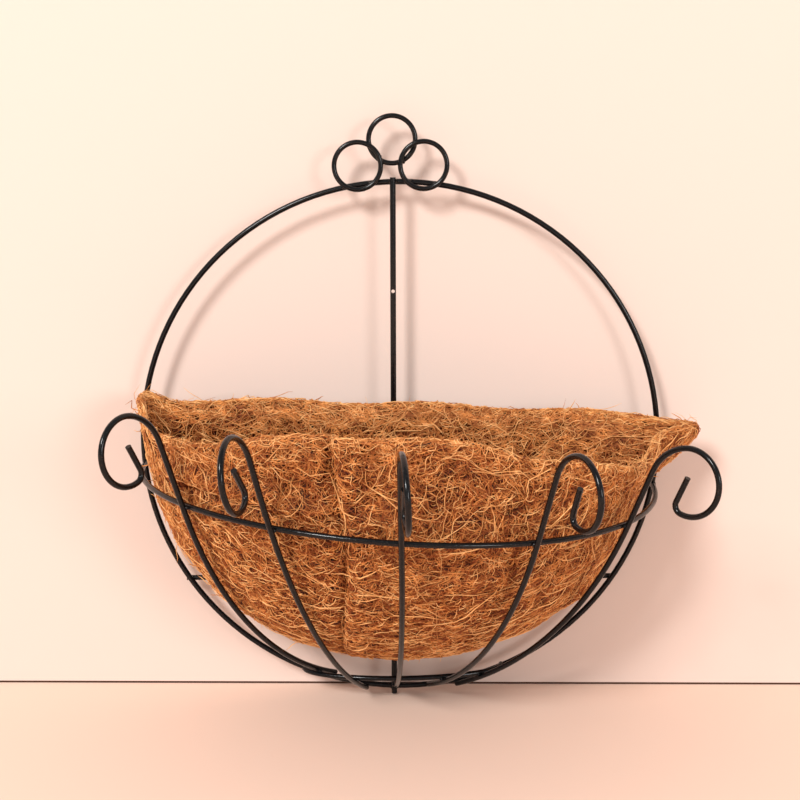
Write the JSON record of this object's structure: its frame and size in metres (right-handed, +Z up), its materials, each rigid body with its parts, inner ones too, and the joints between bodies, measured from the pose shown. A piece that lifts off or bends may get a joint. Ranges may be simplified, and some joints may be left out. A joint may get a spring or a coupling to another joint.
{
  "type": "wall hanging basket",
  "caption": "Half-round wall basket: a black welded wire frame with a ring back, curled ribs and a crest of small rings, holding a lift-out coir liner.",
  "frame": {"origin": "centre of the nail hole in the upright wire, on the wire's own axis", "axes": "+Z up, +X to the right as seen from the front, +Y into the wall; the basket stands out towards -Y"},
  "size_m": [0.319, 0.211, 0.3377],
  "materials": {
    "black_wire": "satin black powder coat over steel wire",
    "coir": "matt loose coconut fibre felt"
  },
  "bodies": {
    "wire_frame": {"back_hoop": "black_wire", "back_upright": "black_wire", "back_crossbar": "black_wire", "upper_band": "black_wire", "lower_band": "black_wire", "rib_left_outer": "black_wire", "rib_left_inner": "black_wire", "rib_centre": "black_wire", "rib_right_inner": "black_wire", "rib_right_outer": "black_wire", "crest_ring_left": "black_wire", "crest_ring_top": "black_wire", "crest_ring_right": "black_wire"},
    "liner": {"coir_liner": "coir"}
  },
  "joints": [
    {"name": "liner_lift", "type": "slide", "parent": "wire_frame", "child": "liner", "axis": [0, 0, 1], "range_m": [0, 0.18]}
  ]
}
